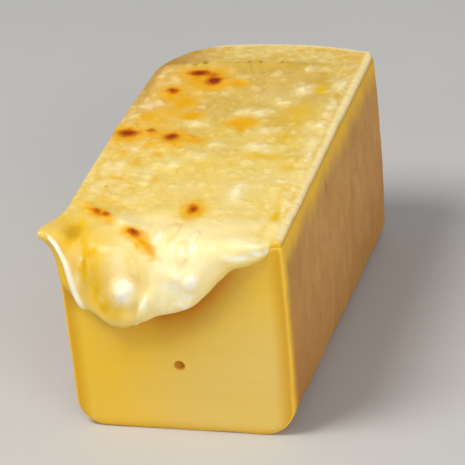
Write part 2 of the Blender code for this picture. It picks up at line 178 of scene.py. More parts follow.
# Small raised ovals on the tongue, each with a yellow ring round its foot, stronger on its right as painted shade
RINGS = (
    (0.7, 65, 2.5, 5, 0.4), (5.4, 73, 2.2, 4, 0.45), (-9, 78, 1.6, 3, 0.3), (8.5, 67, 1.5, 3, 0.25),
)
BEIGE = (
    (15, 34, 8, 9, 0.75), (21, 27, 6, 6, 0.7), (18, 50, 8, 5, 0.6), (-2, 38, 7, 6, 0.4),
    (12, -33, 9, 7, 0.4),
)
# Small pits: sunk in the relief, and darkened inside with painted shade
PITS = (
    (-22.4, -57.4, 1.2, 1.2, 0.6), (-19.2, -58.6, 1.1, 1.2, 1), (-8.2, -60.6, 0.8, 1, 0.85),
    (-4.8, -60.9, 1, 1, 1), (-0.9, -61.2, 0.9, 1, 1), (6.2, -61.6, 0.8, 1.2, 1), (-13.4, -60, 0.8, 0.8, 0.5),
    (-27, 37, 0.5, 0.7, 0.6),
)


# --- shapes: noise and grids ------------------------------------------------------------------------


def smooth(t):
    """0 below 0, 1 above 1, and an S curve between."""
    t = np.clip(t, 0, 1)
    return t * t * (3 - 2 * t)


def rise(value, start, width):
    """An S curve from 0 at a start to 1 a width further on, both in mm."""
    return smooth((value - start * MM) / (width * MM))


def ridge(value, at, width):
    """A round ridge of height 1: e to the minus squared distance from a place, in widths, both in mm."""
    return np.exp(-((value - at * MM) / (width * MM)) ** 2)


def mound(dx, dy, wide, high, turn=0.0):
    """A round bump of height 1: e to the minus squared distance, in half sizes given in mm, turned by an angle
    in degrees."""
    c, s = math.cos(math.radians(turn)), math.sin(math.radians(turn))
    return np.exp(-((dx * c + dy * s) / (wide * MM)) ** 2 - ((dy * c - dx * s) / (high * MM)) ** 2)


def hashed(cells, seed):
    """A number from 0 to 1 for each row of whole numbers, the same each run."""
    first, second = 0x9E3779B1, 0x85EBCA6B  # odd multipliers that mix the bits well
    mixed = np.full(cells.shape[:-1], seed * first % 2**32, np.uint64)
    for axis in range(cells.shape[-1]):
        mixed = (mixed ^ (cells[..., axis].astype(np.int64).astype(np.uint64) & 0xFFFFFFFF)) * first % 2**32
        mixed ^= mixed >> 15
    mixed = mixed * second % 2**32
    return (mixed ^ (mixed >> 13)) % 2**20 / 2**20


def noise(points, size, seed, octaves=1):
    """Value noise from -1 to 1: random corners of a lattice of this size in mm, blended smoothly, each further
    octave half the size and height."""
    apart = 17.3  # keeps the octaves' lattices from lining up
    total, weight = 0, 0
    for octave in range(octaves):
        at = points / (size * MM / 2**octave) + apart * (octave + 1)
        low = np.floor(at)
        part = at - low
        part = part * part * (3 - 2 * part)
        blended = 0
        for corner in np.ndindex((2,) * points.shape[-1]):
            shift = np.array(corner)
            share = np.prod(np.where(shift, part, 1 - part), axis=-1)
            blended = blended + share * hashed(low + shift, seed + octave)
        total = total + (blended * 2 - 1) / 2**octave
        weight += 1 / 2**octave
    return total / weight


def bent(points, by, *patterns):
    """Points of a plane moved along each axis by up to this much in mm, by one noise pattern (size, seed) each."""
    return points + np.stack([noise(points, size, seed, 2) for size, seed in patterns], -1) * by * MM


def blisters(points, cell, seed, chance, big, small):
    """Domes strewn one to a lattice cell: 1 minus squared distance in radii, for the share of cells given by
    chance. The cell and the largest and smallest radius are in mm."""
    cell, big, small = cell * MM, big * MM, small * MM
    low = np.floor(points / cell)
    height = np.zeros(points.shape[:-1])
    for offset in np.ndindex(3, 3):
        home = low + np.array(offset) - 1
        centre = (home + 0.2 + 0.6 * np.stack([hashed(home, seed), hashed(home, seed + 1)], -1)) * cell
        radius = small + (big - small) * hashed(home, seed + 2) ** 2
        there = hashed(home, seed + 3) < chance
        reach = ((points - centre) ** 2).sum(-1) / radius**2
        height = np.maximum(height, np.where(there, np.clip(1 - reach, 0, 1), 0) * radius / big)
    return height


def grid_faces(rows, columns, wrap):
    """Quads between neighbouring points of a grid, counted row by row, closed round the columns if wrap is set."""
    last = columns if wrap else columns - 1
    row, column = np.meshgrid(np.arange(rows - 1), np.arange(last), indexing="ij")
    after = (column + 1) % columns
    quads = np.stack([row * columns + column, row * columns + after,
                      (row + 1) * columns + after, (row + 1) * columns + column], -1)
    return quads.reshape(-1, 4)


def fan(loop, centre, flip):
    """Triangles from each step of a closed loop of points to one centre."""
    after = np.roll(loop, -1)
    ends = (after, loop) if flip else (loop, after)
    return np.stack([*ends, np.full(len(loop), centre)], -1)


def normals_of(points):
    """Unit normals of a grid: the cross product of its steps along the columns and along the rows."""
    across = np.gradient(points, axis=1)
    along = np.gradient(points, axis=0)
    normal = np.cross(along, across)
    return normal / np.maximum(np.linalg.norm(normal, axis=-1, keepdims=True), 1e-12)


def make_piece(name, points, faces, material, masks):
    """A smooth mesh object at the origin, with one float attribute for each mask."""
    old = bpy.data.objects.get(name)
    if old:
        bpy.data.objects.remove(old)
    mesh = bpy.data.meshes.new(name)
    mesh.from_pydata(points.tolist(), [], [face.tolist() for part in faces for face in part])
    for title, values in masks.items():
        layer = mesh.attributes.new(title, "FLOAT", "POINT")
        layer.data.foreach_set("value", values.astype(np.float32))
    mesh.shade_smooth()
    mesh.materials.append(material)
    piece = bpy.data.objects.new(name, mesh)
    bpy.context.scene.collection.objects.link(piece)
    return piece


# --- shapes: the block ------------------------------------------------------------------------------


def outline_columns(spacing):
    """The rounded cross-section, going round from the base's left end: for each column, how far across and up
    its corner centre lies (0 or 1, or between on a straight side), and the outward direction."""
    corners = ((0, 0), (1, 0), (1, 1), (0, 1))
    turns = np.linspace(0, math.pi / 2, CORNER_STEPS, endpoint=False)
    columns = []
    for side in range(4):
        run = np.linspace(0, 1, round((WIDTH, HEIGHT)[side % 2] / spacing), endpoint=False)
        start = -math.pi / 2 + side * math.pi / 2
        here, there = corners[side], corners[(side + 1) % 4]
        across = here[0] + (there[0] - here[0]) * run
        up = here[1] + (there[1] - here[1]) * run
        out_x, out_z = run * 0 + math.cos(start), run * 0 + math.sin(start)
        columns.append(np.stack([across, up, out_x, out_z]))
        out_x, out_z = np.cos(start + turns), np.sin(start + turns)
        columns.append(np.stack([turns * 0 + there[0], turns * 0 + there[1], out_x, out_z]))
    return np.concatenate(columns, 1)


def rounding_inset(radius, past):
    """How far a boundary is drawn in by a rounded corner: a quarter circle, past its start by this much."""
    past = np.clip(past, 0, radius)
    return radius - np.sqrt(radius**2 - past**2)


def section(columns, y):
    """The cross-section's points at each y: every boundary drawn in by the rounding of the block's ends."""
    across, up, out_x, out_z = columns

    def inset(rounding):
        at_back, at_front = y - BACK + rounding, FRONT + CUT_EDGE - y
        return (rounding_inset(rounding, at_back) + rounding_inset(CUT_EDGE, at_front))[:, None]

    right_foot = RIGHT_FOOT_FRONT + (RIGHT_FOOT_BACK - RIGHT_FOOT_FRONT) * ((y - FRONT) / LENGTH)[:, None]
    foot = LEFT_FOOT + (right_foot - LEFT_FOOT) * across
    radius = foot + (CUT_EDGE - foot) * up
    left, right = LEFT + inset(SHOULDER), RIGHT - inset(BACK_RIGHT_EDGE)
    low, high = inset(HEEL), HIDDEN_TOP - inset(CUT_EDGE)
    x = left + radius + (right - left - 2 * radius) * across + out_x * radius
    z = low + foot + (high - low - foot - CUT_EDGE) * up + out_z * radius
    return np.stack([x, np.broadcast_to(y[:, None], x.shape), z], -1)


def swell(points):
    """Moves points as the real block strays from a box: right belly, left lean and bow, crowned back."""
    x, y, z = np.moveaxis(points, -1, 0)
    belly = RIGHT_BELLY * np.clip(1 - ((z - BELLY_HEIGHT) / BELLY_REACH) ** 2, 0, 1) * x / RIGHT
    lean = LEFT_LEAN * (HEIGHT - z) / HEIGHT + LEFT_TAPER * (y - FRONT) / LENGTH
    lean = lean - LEFT_BOW * np.cos(math.pi * y / LENGTH)
    crown = BACK_CROWN * (1 - ((x - CROWN_CENTRE) / (WIDTH / 2)) ** 2) * smooth(y / BACK)
    return np.stack([x + np.where(x > 0, belly, lean * x / LEFT), y + crown, z], -1)


def uneven(points):
    """How far the rind stands off its smooth shape at a point: slow swells and small bumps."""
    return noise(points, 9, 3, 2) * 0.3 * MM + noise(points, 2.2, 9, 2) * 0.08 * MM


def clear_of_bend(points):
    """Draws the block's front top edge back below the bend and the hollow of the melted layer, so that none shows
    through: towards the bend's centre to half its radius, and down in a round dip at the left."""
    x, y, z = np.moveaxis(points, -1, 0)
    bend, stand = bend_radius(x), tongue_stand(x)
    dy, dz = y - (FRONT - stand + bend), z - (HEIGHT - bend)
    reach = np.hypot(dy, dz)
    share = np.where((dy < 0) & (dz > 0), np.minimum(1, 0.5 * bend / np.maximum(reach, 1e-9)), 1)
    sunk = 2.5 * MM * mound(x + 28 * MM, y + 63 * MM, 8, 9) * rise(z, 50, 13)
    return points + np.stack([x * 0, dy * (share - 1), dz * (share - 1) - sunk], -1)


def lip_shadow_mask(x, y, z):
    """The lip's painted shadow on the cut face: strongest just below the lip, and fading to nothing SHADOW_REACH
    further down.
    """
    across, strength = np.array(LIP_SHADOW).T
    below = (HEIGHT - lip_drop(x) - SHADOW_START - z) / SHADOW_REACH
    return np.interp(x / MM, across, strength) * (1 - np.clip(below, 0, 1)) ** 1.35 * (y < FRONT + 2 * MM)


def block_rows(settings):
    """The block as one grid: rings spread from the eye over the cut face, sections along the length, rings over
    the back. Inside its radius the eye sinks as a flattened sphere does, and a low round lip stands on its rim."""
    columns = outline_columns(settings.spacing)
    turn = np.linspace(0, math.pi / 2, CUT_STEPS)[:-1]
    front = FRONT + CUT_EDGE * (1 - np.cos(turn))
    middle = np.linspace(FRONT + CUT_EDGE, BACK - SHOULDER, round((LENGTH - SHOULDER) / settings.spacing))
    turn = np.linspace(0, math.pi / 2, BACK_STEPS)[1:]
    back = BACK - SHOULDER * (1 - np.sin(turn))
    body = section(columns, np.concatenate([front, middle, back]))

    rim = body[0][:, [0, 2]]
    eye = np.array([EYE_X, EYE_Z])
    reach = np.linalg.norm(rim - eye, axis=1)
    heading = (rim - eye) / reach[:, None]
    near = EYE_RADIUS * np.array(EYE_RINGS)
    far = np.linspace(0, 1, FACE_RINGS)[1:-1]
    rings = [np.full(len(reach), r) for r in near] + [near[-1] + (reach - near[-1]) * t for t in far]
    cap = []
    for ring in rings:
        sunk = np.sqrt(np.clip(1 - (ring / EYE_RADIUS) ** 2, 0, 1)) * EYE_RADIUS * 0.9
        lip = 0.12 * MM * ridge(ring - EYE_RADIUS * 1.1, 0, 0.4)
        flat = eye + heading * ring[:, None]
        cap.append(np.stack([flat[:, 0], FRONT + sunk - lip, flat[:, 1]], -1))

    tail = body[-1]
    centre = tail.mean(0)
    tail_cap = [centre + (tail - centre) * t for t in np.linspace(1, 0.01, BACK_STEPS)[1:]]
    return np.concatenate([np.array(cap), body, np.array(tail_cap)])


def make_block_surface(settings):
    """The block as one closed grid: the rows swell away from a box, rind and paste move out along the normal by
    their own noise, and a fan closes each end. The masks are 1 on the rind, in the lip's painted shadow, in the
    eye's painted shade and in the nick, and give the distance from the outline and from the cut edges, up to
    EDGE_REACH, as 0 to 1."""
    points = block_rows(settings)
    x, y, z = np.moveaxis(points, -1, 0)
    from_eye = np.hypot(x - EYE_X, z - EYE_Z)
    on_front = np.maximum(rise(FRONT - y, -0.5, 0.4), (from_eye < 4 * MM) * (y < 0))
    on_top = rise(z - HIDDEN_TOP, -0.5, 0.4)
    cut = np.maximum(on_front, on_top)
    margin = np.minimum(np.minimum(x - LEFT, RIGHT - x),
                        np.where(on_top > 0.5, BACK + BACK_CROWN - y, z + 2 * MM))
    from_cut = np.minimum(HIDDEN_TOP - z, (y - FRONT) * 1.6)
    masks = {
        "skin": 1 - cut,
        # Painted shadow of the lip on the cut face, strongest below the middle of the lip
        "lip_shadow": lip_shadow_mask(x, y, z),
        # Painted shade inside the eye
        "eye_shade": smooth(1.4 - from_eye / EYE_RADIUS) * (y < FRONT + 3 * MM),
        "nick": 0.9 * mound(y + 10 * MM, z - 54.8 * MM, 0.9, 3.2) * (x > 0),
        "margin": np.clip(margin / EDGE_REACH, 0, 1),
        "from_cut": np.clip(from_cut / EDGE_REACH, 0, 1),
    }
    masks = {title: np.append(v.reshape(-1), [v[0].mean(), v[-1].mean()]) for title, v in masks.items()}

    points = swell(points)
    paste = noise(points, 16, 21, 2) * 0.2 * MM + noise(points * [0.3, 1, 1], 1.5, 23, 2) * 0.01 * MM
    points = points + normals_of(points) * (uneven(points) * (1 - cut) + paste * cut)[..., None]
    points = clear_of_bend(points)
    points[..., 2] = np.maximum(points[..., 2], 0)
    rows, count = points.shape[:2]
    flat = points.reshape(-1, 3)
    ends = np.stack([flat[:count].mean(0), flat[-count:].mean(0)])
    first = np.arange(count)
    faces = [grid_faces(rows, count, True)[:, ::-1], fan(first, rows * count, False),
             fan(first + (rows - 1) * count, rows * count + 1, True)]
    return np.concatenate([flat, ends]), faces, masks


# --- shapes: the melted layer -----------------------------------------------------------------------


def table_at(x, table, blur=2.0):
    """A table of places and values in mm, read at x and softened by averaging over twice the blur, also in mm."""
    places, values = np.array(table).T * MM
    steps = np.linspace(-1, 1, 9) * (blur * MM)
    return np.mean([np.interp(x + step, places, values) for step in steps], axis=0)


def lip_drop(x):
    """How far the lip hangs below the top: its table, a little softened."""
    return table_at(x, LIP, 1.4)


def bend_radius(x):
    """Radius of the bend over the front edge: its table, and at most three quarters of the drop."""
    return np.minimum(table_at(x, BENDS), lip_drop(x) * 0.75)


def tongue_stand(x):
    """How far the melt stands off the cut face, less where the drop is short. At its right end it dips into the
    block instead."""
    return TONGUE_STAND * rise(lip_drop(x), 0, 16) + 0.3 * MM - 1.6 * MM * rise(x, 28, 5)


def near_tip(y):
    """0 to 1 towards the front, over the length in which the left border runs out to the tip."""
    return rise(FRONT - y, -24, 27)


def top_rows(y, columns):
    """The top as a grid: at each y, columns run from the left border to the right one. Both borders follow the
    block's outline, drawn in by the roll's radius, and the left one runs out to a tip at the front corner."""
    past = y - BACK + ROLL_RADIUS
    shoulder, edge = SHOULDER - ROLL_RADIUS, BACK_RIGHT_EDGE - ROLL_RADIUS
    left = LEFT + ROLL_RADIUS + rounding_inset(shoulder, past + shoulder) - TIP_REACH * near_tip(y) ** 1.6
    right = RIGHT - ROLL_RADIUS - rounding_inset(edge, past + edge)
    return swell(np.stack([left + (right - left) * columns, y, np.full_like(y, HEIGHT)], -1))


def melt_rows(settings):
    """The layer's smooth surface as a grid: rows run from the back to the front, over the edge and round the lip.

    Over the edge each column follows a path whose heading turns by a quarter, runs straight down, and turns by a
    half under the lip. The path is the running sum of its steps, scaled to reach the lip's place. Columns lie
    closer together near the borders. Returns the points, their places along the flow, and how far each has come
    round the lip (0 to 1)."""
    place = np.linspace(0, 1, COLUMNS)
    spacing = 1 - 0.7 * np.exp(-place / 0.1) - 0.6 * np.exp(-(1 - place) / 0.04)
    across = (np.cumsum(spacing) - spacing[0]) / (spacing.sum() - spacing[0])
    x_edge = top_rows(np.full((1, COLUMNS), FRONT), across)[0, :, 0]
    drop, bend, stand = lip_drop(x_edge), bend_radius(x_edge), tongue_stand(x_edge)
    lip = np.minimum(settings.lip_radius, drop * 0.3)

    # On top
    turns = np.linspace(math.pi / 2, 0, SHOULDER_ROWS, endpoint=False)[:, None]
    round_back = BACK - ROLL_RADIUS - (SHOULDER - ROLL_RADIUS) * (1 - np.sin(turns))
    y_front = FRONT - stand + bend
    start = BACK - SHOULDER
    y = np.concatenate([np.broadcast_to(round_back, (SHOULDER_ROWS, COLUMNS)),
                        start + (y_front - start) * (1 - np.linspace(1, 0, TOP_ROWS) ** 1.2)[:, None]])
    top = top_rows(y, across)

    # Over the edge
    straight = np.maximum(drop - bend - lip, 0)
    quarter, half = bend * math.pi / 2, lip * math.pi
    length = quarter + straight + half
    far = np.linspace(0, 1, FALL_ROWS)[:, None] * length
    round_lip = np.clip((far - quarter - straight) / half, 0, 1)
    heading = math.pi / 2 * smooth(far / quarter) + math.pi * smooth(round_lip)
    step = length / (FALL_ROWS - 1)
    run = np.cumsum(np.cos(heading), 0) * step
    fall = np.cumsum(np.sin(heading), 0) * step
    y = top[-1, :, 1] - run * bend / run.max(0)
    z = HEIGHT - fall * drop / fall.max(0)
    over = np.stack([np.broadcast_to(top[-1, :, 0], y.shape), y, z], -1)[1:]
    flow = np.concatenate([-top[..., 1], -top[-1, :, 1] + far[1:]])
    round_lip = np.concatenate([np.zeros(top.shape[:2]), round_lip[1:]])
    return np.concatenate([top, over]), flow, round_lip


def spots_mask(plan, spots, grow=1.0, bend=0.6, trail=1.0):
    """The strongest of a list of spots at each point. Noise bends their outlines by up to this many mm, so that
    none is a plain oval. With a trail over 1, each reaches that much further to the front than to the back."""
    moved = bent(plan, bend, (3, 61), (3, 62))
    mask = np.zeros(plan.shape[:-1])
    for across, flow, wide, high, strength, *turn in spots:
        past = moved[..., 1] - flow * MM
        past = np.where(past > 0, past / trail, past)
        reach = mound(moved[..., 0] - across * MM, past, wide * grow, high * grow, *turn)
        mask = np.maximum(mask, strength * reach)
    return mask


def ring_masks(plan):
    """For the small ovals: a hazy ring where the distance in half sizes is near 1, strongest on the right as
    painted shade, and a dome of 1 less its square inside. Noise bends both."""
    rings = ovals = np.zeros(plan.shape[:-1])
    moved = bent(plan, 1.1, (3, 81), (4, 82))
    for across, flow, wide, high, strength in RINGS:
        dx, dy = (moved[..., 0] / MM - across) / wide, (moved[..., 1] / MM - flow) / high
        reach = np.hypot(dx, dy)
        haze = np.exp(-((reach - 0.85) / 0.4) ** 2)
        rings = np.maximum(rings, strength * haze * (0.65 + 0.35 * np.tanh(dx)))
        ovals = np.maximum(ovals, np.clip(1 - reach**2, 0, 1))
    return rings, ovals


def right_of(plan, line):
    """How far a point lies right of a line given as way along the flow and place across, in mm."""
    flow, place = np.array(line).T * MM
    return plan[..., 0] - np.interp(plan[..., 1], flow, place)


def borders(points):
    """How far each point of the top lies inside the right, left and back borders."""
    x, y, _ = np.moveaxis(points, -1, 0)
    back = BACK + BACK_CROWN * (1 - ((x - CROWN_CENTRE) / (WIDTH / 2)) ** 2)
    return RIGHT - x, x - LEFT, back - y


def rim_mask(points, plan):
    """1 on the bare rim along the right side and the back, 0 on the melted skin, with a ragged border between."""
    right, left, back = borders(points)
    ragged = noise(plan, 4, 53, 3) * 0.8 * MM
    to_back = (points[..., 1] - FRONT) / LENGTH
    widening = 1.8 * MM * smooth((to_back - 0.3) / 0.4)
    on_right = 1 - rise(right + ragged - widening, 1, 1.8)
    on_back = 1 - rise(back + ragged, RIM_BACK, 1.6)
    on_left = 0.8 * (1 - rise(left + ragged, 1.5, 2.5)) * smooth((to_back - 0.55) / 0.3)
    return np.maximum(np.maximum(on_right, on_back), on_left)


def tongue_relief(plan):
    """Height of the crease's step, the lumps and the bead down the tongue's left side, and the masks that go with
    them. The step is highest along the crease and runs out to its right."""
    x, flow = np.moveaxis(plan, -1, 0)
    step_at, step_high = np.array(STEP).T * MM
    side, past_bead = right_of(plan, CREASE), right_of(plan, BEAD)
    folded = smooth(side / ((3.2 - 2.2 * rise(flow, 80, 7)) * MM) + 0.5)
    height = np.interp(flow, step_at, step_high) * folded * (1 - 0.8 * rise(side, 0, 12))
    for across, along, wide, high, lift, *turn in LUMPS:
        height = height + lift * MM * mound(x - across * MM, flow - along * MM, wide, high, *turn)

    on_left = rise(flow, 68, 6) * (x < -20 * MM)
    # The bead's ridge, whose crest also gets a painted highlight
    bead_and_highlight = ridge(past_bead, 0, 1.3) * on_left
    height = height + 0.9 * MM * bead_and_highlight - 0.5 * MM * rise(-past_bead, 0, 2) * on_left
    return height, {
        "folded": folded * rise(flow, 52, 8),
        "honey": (1 - folded) * rise(flow, 46, 14),
        "bead_and_highlight": bead_and_highlight,
        "bare": rise(-past_bead, 1.1, 0.8) * on_left * rise(flow, 71, 3),
    }


def melt_relief(plan, points):
    """Height of the melted skin over its smooth path, with the masks that the colours share with it."""
    x, flow = np.moveaxis(plan, -1, 0)
    hanging = rise(flow, 50, 22)
    tongue, masks = tongue_relief(plan)
    rim = rim_mask(points, plan)
    right, _, back = borders(points)
    rings, ovals = ring_masks(plan)

    bubbly = 0.15 + ridge(right, 5, 4) + 0.4 * rise(-x, 0, 20) + 0.1 * rise(flow, 30, 25)
    bubbly = np.clip(bubbly, 0, 1) * (0.5 + 0.5 * noise(plan, 11, 39, 2)) * (1 - 0.9 * hanging) * 1.4
    bubbly = np.clip(bubbly, 0, 1)
    froth = blisters(plan * [1, 0.8], 2.0, 47, 0.85, 1.25, 0.4) * bubbly
    domes = blisters(bent(plan, 1.6, (3.5, 73), (3.5, 75)) * [1, 0.75], 4.6, 71, 0.65, 2.3, 1.2)
    domes = domes * (1 - 0.8 * hanging)
    blister, pits = spots_mask(plan, IVORY, 1, 1.6), spots_mask(plan, PITS, 1, 0.2)

    broad = noise(plan, 24, 31, 2) * 0.3 * MM + noise(plan * [1, 0.8], 8, 33, 2) * 0.7 * MM * hanging
    ripples = noise(plan * [1, 0.65], 4.5, 37, 2) * 0.3 * MM * (1 - 0.5 * hanging)
    raised = 0.3 * blister + 0.2 * froth + 0.35 * domes + 0.5 * ovals
    skin = broad + ripples + raised * MM + tongue
    ragged = noise(plan, 3, 59, 2) * 0.7 * MM
    groove = ridge(back + ragged, RIM_BACK - 0.2, 2.2) * (hanging == 0)
    uneven_bead = 0.6 + 0.6 * noise(plan, 4, 63, 2)
    rough_rim = 0.4 * MM * ridge(right, 1.6, 1) * uneven_bead + 0.15 * MM * noise(plan, 1.6, 57, 2)
    height = skin * (1 - rim) + rough_rim * rim - GROOVE * groove - pits * 0.4 * MM

    masks.update(froth=froth, bubbly=bubbly, blister=blister, domes=domes, pit=pits, hanging=hanging, rim=rim,
                 rings=rings, beige=spots_mask(plan, BEIGE, 1, 2), groove=groove)
    masks["brim"] = np.maximum(ridge(right, 1.4, 1.5) * (0.5 + 0.5 * uneven_bead), ridge(back, 0.6, 1.6))
    masks["bare"] = np.maximum(masks["bare"], rise(-right, -4.5, 2) * rise(flow, 66, 4))
    return height, masks


def roll_turns(rows):
    """How far each point has gone round its border's roll, in radians: 0 inside the borders."""
    part = np.linspace(1, 0, ROLL_STEPS, endpoint=False)
    back, sides = np.pad(part, (0, rows)), np.concatenate([part, np.zeros(COLUMNS), part[::-1]])
    return np.radians(ROLL_TURN) * np.maximum(back[:, None], sides)


def roll_directions(points):
    """Which way is out at each point of a border: on the left and right, square to the outline with its rounded
    back corners, and on the back, straight back."""
    y = points[:, :1, 1]
    sides = []
    for sign, radius in ((-1, SHOULDER), (1, BACK_RIGHT_EDGE)):
        lean = np.clip((y - BACK + radius) / (radius - ROLL_RADIUS), 0, 1)
        side = np.concatenate([sign * np.sqrt(1 - lean**2), lean, lean * 0], 1)
        sides.append(np.repeat(side[:, None], ROLL_STEPS, 1))
    outward = np.concatenate([sides[0], np.zeros(points.shape), sides[1]], 1)
    return np.concatenate([np.broadcast_to([0.0, 1, 0], (ROLL_STEPS, *outward.shape[1:])), outward])


def tucked_under(points):
    """The grid with its underside added: the overhanging left border draws back to the block's side in a quarter
    turn, inwards first and then down, and the lip goes straight back to the block's front."""
    edge = points[:, :1]
    wall = np.concatenate([np.maximum(edge[..., 0] + 0.8 * MM, LEFT + 1.5 * MM),
                           np.clip(edge[..., 1], FRONT + 2 * MM, BACK),
                           HEIGHT - 2.2 * MM - 9 * MM * near_tip(edge[..., 1])], 1)[:, None]
    turn = np.linspace(math.pi / 2, 0, TUCK_STEPS, endpoint=False)[None, :]
    steps = np.stack([np.sin(turn), np.sin(turn), 1 - np.cos(turn)], -1)
    points = np.concatenate([edge + (wall - edge) * steps, points], 1)
    lip = points[-1]
    inside = np.stack([lip[:, 0] * 0.94, np.full(len(lip), FRONT + 3 * MM), lip[:, 2]], -1)
    steps = np.linspace(0, 1, TUCK_STEPS + 1)[1:, None, None]
    return np.concatenate([points, lip + (inside - lip) * steps])


def colour_masks(plan, above_lip):
    """The masks that only the colours need: browned spots and their halos, thick and thin melt, the painted
    highlights that ride on the thickest melt, and the painted shade just above the lip.
    """
    x, flow = np.moveaxis(plan, -1, 0)
    band = ridge(right_of(plan, BEAD), 7, 4.6) * rise(flow, 64, 6) * (0.6 + 0.7 * noise(plan, 5, 67, 2))
    thin = (1 - rise(above_lip, 0.8, 1.8)) * rise(x, 14, 3) * (flow > 60 * MM)
    return {
        "toast": spots_mask(plan, TOAST, trail=1.3),
        "halo": np.maximum(0.85 * spots_mask(plan, TOAST, 1.9, trail=1.5), spots_mask(plan, ORANGE, 1.1, 1.2)),
        "cream": spots_mask(plan, CREAM_AND_HIGHLIGHTS),
        "gold": np.maximum(spots_mask(plan, GOLD), np.maximum(band, 0.6 * thin)),
        # Painted shade on the melt just above the lip
        "lip_shade": (1 - rise(above_lip, 1, 6)) * (flow > 76 * MM),
    }


def make_melt_surface(settings):
    """The melted layer as one closed grid. Each border rolls over by a part turn: points move outward by the roll's
    radius times the sine of the turn, and inward along the normal by the radius times one less its cosine. Then it
    tucks in under itself, and a fan closes it inside the block."""
    points, flow, round_lip = melt_rows(settings)
    plan = np.stack([points[..., 0], flow], -1)
    height, masks = melt_relief(plan, points)
    normal = normals_of(points)
    fade = 1 - smooth((round_lip - 0.55) / 0.4)
    points = points + normal * (height * fade)[..., None]

    turn, outward = roll_turns(len(flow)), roll_directions(points)
    pad = ((ROLL_STEPS, 0), (ROLL_STEPS, ROLL_STEPS))
    points, normal, plan = (np.pad(grid, (*pad, (0, 0)), mode="edge") for grid in (points, normal, plan))
    round_lip = np.pad(round_lip, pad, mode="edge")
    thin = 1 - 0.82 * near_tip(points[..., 1]) * (points[..., 0] < 0)
    radius = (ROLL_RADIUS * thin * (1 - 0.9 * smooth(round_lip * 1.5)))[..., None]
    points = points + radius * (outward * np.sin(turn)[..., None] - normal * (1 - np.cos(turn))[..., None])
    points = points + outward * (uneven(points) * np.sin(turn) ** 2)[..., None]

    masks.update(colour_masks(plan, points[..., 2] - HEIGHT + lip_drop(points[..., 0])))
    masks["under"] = np.maximum(smooth(turn / math.radians(ROLL_TURN) * 2 - 0.5), smooth(round_lip * 2.2 - 1))
    for title, values in masks.items():
        if values.shape != turn.shape:
            values = np.pad(values, pad, mode="edge")
        masks[title] = np.append(np.pad(values, ((0, TUCK_STEPS), (TUCK_STEPS, 0)), mode="edge").reshape(-1), 0)

    points = tucked_under(points)
    rows, count = points.shape[:2]
    index = np.arange(rows * count).reshape(rows, count)
    border = np.concatenate([index[0, :-1], index[:-1, -1], index[-1, :0:-1], index[:0:-1, 0]])
    faces = [grid_faces(rows, count, False)[:, ::-1], fan(border, rows * count, False)]
    return np.concatenate([points.reshape(-1, 3), [[0, 0, HEIGHT - 20 * MM]]]), faces, masks


# --- materials --------------------------------------------------------------------------------------


def srgb(red, green, blue):
    """A colour from 0 to 255 steps as the linear values that shaders take."""
    steps = np.array([red, green, blue]) / 255
    return tuple(np.where(steps <= 0.04045, steps / 12.92, ((steps + 0.055) / 1.055) ** 2.4))


class Tree:
    """Short ways to add and join nodes in one shader tree. Sizes are in mm."""

    def __init__(self, tree):
        self.tree = tree

    def add(self, kind, inputs=None, **settings):
        node = self.tree.nodes.new("ShaderNode" + kind)
        for title, value in settings.items():
            setattr(node, title, value)
        for title, value in (inputs or {}).items():
            self.put(node.inputs[title], value)
        return node

    def put(self, socket, value):
        if isinstance(value, bpy.types.NodeSocket):
            self.tree.links.new(value, socket)
        elif socket.type == "RGBA":
            socket.default_value = (*value[:3], 1)
        else:
            socket.default_value = value

    def mask(self, title):
        return self.add("Attribute", attribute_name=title).outputs["Fac"]

    def place(self, scale=(1, 1, 1), shift=(0, 0, 0)):
        """Object coordinates, stretched: a small scale on an axis draws a pattern out along it."""
        at = self.add("TexCoord").outputs["Object"]
        return self.add("Mapping", {"Vector": at, "Scale": scale, "Location": shift}).outputs[0]

    def noise(self, size, vector, detail=3.0):
        inputs = {"Vector": vector, "Scale": 1 / (size * MM), "Detail": detail, "Roughness": 0.55}
        return self.add("TexNoise", inputs).outputs["Fac"]

    def ramp(self, value, low, high, to_low=0.0, to_high=1.0):
        inputs = {"Value": value, "From Min": low, "From Max": high, "To Min": to_low, "To Max": to_high}
        return self.add("MapRange", inputs, interpolation_type="SMOOTHSTEP").outputs["Result"]

    def patches(self, size, to_low, to_high, vector, detail=3.0, reach=0.2):
        """Noise that runs from one number to another over the middle of its range, this far to each side."""
        return self.ramp(self.noise(size, vector, detail), 0.5 - reach, 0.5 + reach, to_low, to_high)

    def math(self, kind, first, second, clamp=False):
        node = self.add("Math", operation=kind, use_clamp=clamp)
        self.put(node.inputs[0], first)
        self.put(node.inputs[1], second)
        return node.outputs[0]

    def times(self, first, second, clamp=False):
        return self.math("MULTIPLY", first, second, clamp)

    def plus(self, first, second):
        return self.math("ADD", first, second)

    def mix(self, amount, first, second):
        node = self.add("Mix", data_type="RGBA")
        self.put(node.inputs["Factor"], amount)
        for title, value in (("A", first), ("B", second)):
            socket = next(s for s in node.inputs if s.name == title and s.type == "RGBA")
            self.put(socket, value)
        return next(s for s in node.outputs if s.type == "RGBA")

    def masked(self, colour, title, layer, strength=1.0, low=0.0, high=1.0):
        """A colour laid over another where a mask runs from low to high."""
        return self.mix(self.ramp(self.mask(title), low, high, 0.0, strength), colour, layer)

    def group(self, name, build, inputs):
        return self.add("Group", inputs, node_tree=bpy.data.node_groups.get(name) or build(name)).outputs

    def mottled(self, colour, layer, size, share, soft, strength, vector):
        """Soft patches of one colour over another."""
        inputs = {"Under": colour, "Over": layer, "Scale": 1 / (size * MM), "Share": share, "Softness": soft,
                  "Vector": vector, "Strength": strength}
        return self.group("mottle", mottle_group, inputs)["Color"]

    def grain(self, scale, fine, vector, share):
        """Fine relief, as high as its share."""
        inputs = {"Vector": vector, "Scale": scale, "Fine": fine}
        return self.times(self.group("grain", grain_group, inputs)["Height"], share)


